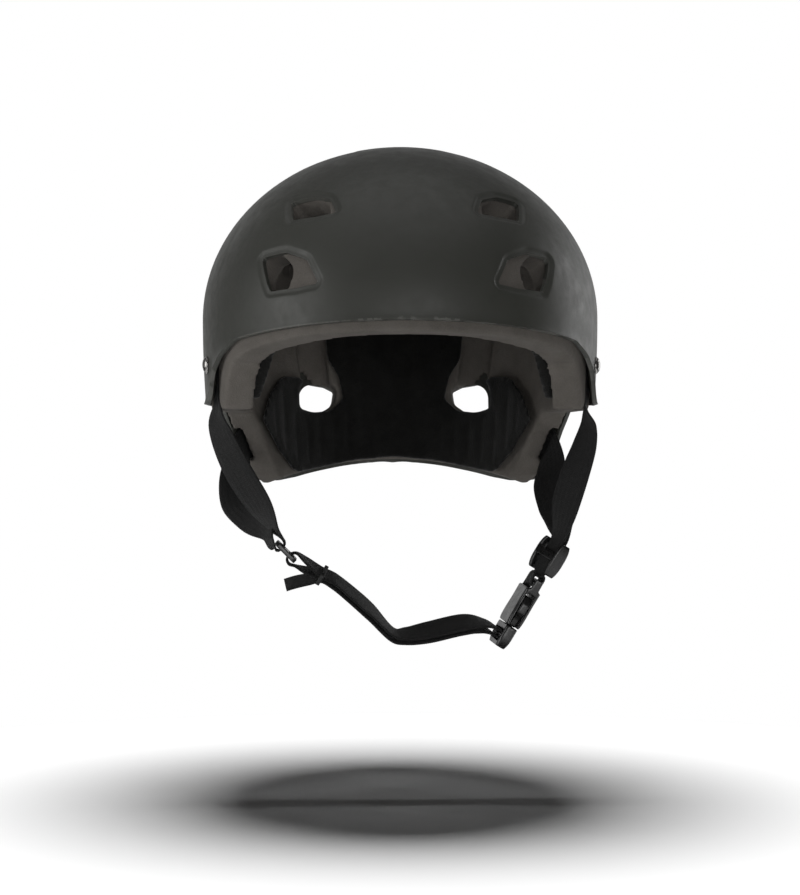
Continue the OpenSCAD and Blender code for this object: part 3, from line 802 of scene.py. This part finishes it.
def divider_shape(along, across, out):
    """Narrower than the webbing laid flat, with rails that round off towards their ends."""
    ends = np.clip(np.abs(along) / 10.5, 0, 1) ** 3
    return 0.76 - 0.05 * ends, 0.92 - 0.42 * ends


def socket_shape(along, across, out):
    """A waisted body that swells towards its mouth."""
    waist = np.exp(-((along - 1) / 6.5) ** 2)
    ends = np.clip(np.abs(along) / 15.5, 0, 1) ** 6
    return 1 - 0.07 * waist, 1.04 - 0.22 * ends


def plug_shape(along, across, out):
    """Its base narrows to a rounded lower end."""
    low = np.clip(-along / 7.5, 0, 1) ** 2
    return 1 - 0.2 * low, 1 - 0.32 * low


def prong_shape(along, across, out):
    return np.ones_like(along), 1 - 0.12 * np.clip(np.abs(along) / 10, 0, 1) ** 2


RIVET_PROFILE = ((0, 2.6), (1.6, 2.5), (3.0, 2.1), (4.0, 1.45), (4.55, 0.75), (4.75, 0.35),
                 (4.6, 0.08), (3.6, 0.0), (2.0, 0.0), (2.0, -6.0), (3.4, -6.1), (3.2, -6.5),
                 (0, -6.5))  # radius and height above the shell, from the head's top down


def lathe(name, profile, origin, axis, material, count=48):
    """A turned solid from (radius, height) pairs."""
    axis = rows_unit(axis)
    x_axis = rows_unit(np.cross(axis, (0.0, 0.0, 1.0)))
    y_axis = np.cross(axis, x_axis)
    turns = np.linspace(0, 2 * math.pi, count, endpoint=False)
    vertices, faces = [], []
    for radius, height in profile:
        for t in turns:
            vertices.append(origin + axis * height + max(radius, 0.02)
                            * (math.cos(t) * x_axis + math.sin(t) * y_axis))
    for r in range(len(profile) - 1):
        faces += [(r * count + k, r * count + (k + 1) % count, (r + 1) * count + (k + 1) % count,
                   (r + 1) * count + k) for k in range(count)]
    faces += [tuple(range(count)), tuple((len(profile) - 1) * count + k for k in range(count))]
    obj = new_object(name, vertices, faces, material)
    edit_mesh(obj, lambda bm: bmesh.ops.recalc_face_normals(bm, faces=bm.faces))
    return obj


def anchor_on(at, side):
    """Point and outward normal on the shell's side at (y, z)."""
    elevation = math.asin((at[1] - CENTRE[2]) / TUCK)
    azimuth = math.acos(-(at[0] - CENTRE[1]) / (HALF_L * math.cos(elevation)))
    point = dome_point(azimuth, np.array(elevation))
    return point * (side, 1, 1), dome_normal(point[None])[0] * (side, 1, 1)


def build_rivets():
    for side, word in ((1, "left"), (-1, "right")):
        for at, where in ((EAR_ANCHOR, "ear"), (REAR_ANCHOR, "rear")):
            point, out = anchor_on(at, side)
            rivet = lathe(f"Rivet_{where}_{word}", RIVET_PROFILE, point, out, STEEL)
            place(rivet, "helmet", "rivet_steel", f"{where}_rivet_{word}")


KEEPER_AT = np.array([-43.6, -10.0, -135.8])


def build_fittings():
    socket_at, plug_at = BAR_AT - 13.5 * HANG, BAR_AT - 35 * HANG
    moulded_fitting("strap_divider", "Divider", "divider", "fitting_plastic", PLASTIC,
                    DIVIDER_AT, DIVIDER_OUT, divider_shape)
    moulded_fitting("buckle_socket", "Buckle_socket", "chin_harness", "fitting_plastic", PLASTIC,
                    socket_at, BUCKLE_OUT, socket_shape)
    moulded_fitting("buckle_plug", "Buckle_plug", "plug", "fitting_plastic", PLASTIC,
                    plug_at, BUCKLE_OUT, plug_shape)
    for word in ("front", "rear"):
        moulded_fitting(f"buckle_prong_{word}", f"Prong_{word}", f"prong_{word}", "fitting_plastic",
                        PLASTIC, socket_at, BUCKLE_OUT, prong_shape)
    adjuster = copy_of("strap_adjuster", "Adjuster", PLASTIC)
    remesh(adjuster, 0.35, 0.5, 5)
    place(adjuster, "chin_harness", "fitting_plastic", "strap_adjuster")
    keeper = copy_of("strap_keeper", "Strap_keeper", RUBBER)
    remesh(keeper, 0.3, 0.5, 5)
    off = vertices_of(keeper.data) - KEEPER_AT
    set_vertices(keeper.data, KEEPER_AT + off * (0.75, 0.9, 0.72))
    place(keeper, "keeper", "keeper_rubber", "strap_keeper")


def dress_cad_nodes():
    """Hidden metal and tape keep their CAD shape and get their own materials."""
    for node, material in (("hook_patches", HOOKS), ("ear_washers", STEEL),
                           ("rear_washers", STEEL)):
        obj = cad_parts[node]
        obj.data.materials.clear()
        obj.data.materials.append(material)


# ---------------------------------------------------------------- camera, floor and light
FLOOR_Z = -0.262
FLOOR_REACH = 450
LAMP_ABOVE_FLOOR = 0.58


def area_light(name, place_at, aim, size, power):
    data = bpy.data.lights.new(name, "AREA")
    data.shape, data.size, data.size_y = "RECTANGLE", size[0], size[1]
    data.energy = power
    lamp = bpy.data.objects.new(name, data)
    lamp.location = place_at
    lamp.rotation_euler = (Vector(aim) - Vector(place_at)).to_track_quat("-Z", "Y").to_euler()
    bpy.context.scene.collection.objects.link(lamp)
    return lamp


def light_only(name, lamps, lit):
    """The lamps light only these objects; everything still casts shadows."""
    group = bpy.data.collections.new(name)
    for obj in lit:
        group.objects.link(obj)
    for lamp in lamps:
        lamp.light_linking.receiver_collection = group


def build_camera():
    data = bpy.data.cameras.new("Camera")
    data.lens = 100.8
    camera = bpy.data.objects.new("Camera", data)
    camera.location = (-0.0489, -1.399, -0.065)
    camera.rotation_euler = (math.radians(90), 0, math.radians(-2))
    bpy.context.scene.collection.objects.link(camera)
    bpy.context.scene.camera = camera


def build_floor():
    """A white floor below the hanging helmet, with its own even lamp for the soft shadow."""
    white, _, _ = new_material("Floor_white", (0.86, 0.86, 0.86), 0.9, specular=0.0)
    turns = np.linspace(0, 2 * math.pi, 64, endpoint=False)
    rim = [(FLOOR_REACH * math.cos(t), FLOOR_REACH * math.sin(t), 0) for t in turns]
    floor = new_object("Floor", rim, [tuple(range(64))], white)
    floor.location.z = FLOOR_Z
    floor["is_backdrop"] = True
    data = bpy.data.lights.new("Floor_lamp", "POINT")
    data.energy, data.shadow_soft_size = 74, 0.155
    lamp = bpy.data.objects.new("Floor_lamp", data)
    lamp.location = (0, 0, FLOOR_Z + LAMP_ABOVE_FLOOR)
    bpy.context.scene.collection.objects.link(lamp)
    light_only("Lit_by_floor_lamp", [lamp], [floor])
    data.use_nodes = True
    even = add_node(data.node_tree, "ShaderNodeLightFalloff", Strength=1.0)
    data.node_tree.links.new(even.outputs["Constant"],
                             data.node_tree.nodes["Emission"].inputs["Strength"])


def build_world():
    """White to the camera, and a weak even glow to everything else."""
    world = bpy.data.worlds.new("Studio")
    world.use_nodes = True
    bpy.context.scene.world = world
    tree = world.node_tree
    to_camera = add_node(tree, "ShaderNodeLightPath").outputs["Is Camera Ray"]
    backdrop = add_node(tree, "ShaderNodeBackground", Color=(1, 1, 1, 1), Strength=1.0)
    glow = add_node(tree, "ShaderNodeBackground", Color=(1, 1, 1, 1), Strength=0.04)
    both = add_node(tree, "ShaderNodeMixShader", i0=to_camera, i1=glow.outputs[0],
                    i2=backdrop.outputs[0])
    tree.links.new(both.outputs[0], tree.nodes["World Output"].inputs["Surface"])


def build_lights():
    """Softboxes that light the helmet and leave the floor's shadow alone."""
    sun = bpy.data.lights.new("Overhead", "SUN")
    sun.energy, sun.angle = 0.9, math.radians(70)
    overhead = bpy.data.objects.new("Overhead", sun)
    bpy.context.scene.collection.objects.link(overhead)
    lamps = [overhead,
             area_light("Front_fill", (0.35, -2.3, -0.1), (0, 0, -0.05), (1.8, 0.6), 19),
             area_light("Left_softbox", (-1.3, -0.35, 0.1), (0, 0, 0), (0.7, 1.0), 9),
             area_light("Right_softbox", (1.1, 0.8, 0.1), (0, 0, 0), (0.3, 1.0), 5),
             area_light("Backdrop", (0, 2.2, 0.3), (0, 0, 0), (3.4, 2.2), 16)]
    light_only("Lit_by_softboxes", lamps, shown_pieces())


bpy.context.scene.view_settings.view_transform = "Standard"
build_camera()
build_floor()
build_world()
build_shell()
build_liner()
build_pads()
build_straps()
build_rivets()
build_fittings()
dress_cad_nodes()
build_lights()
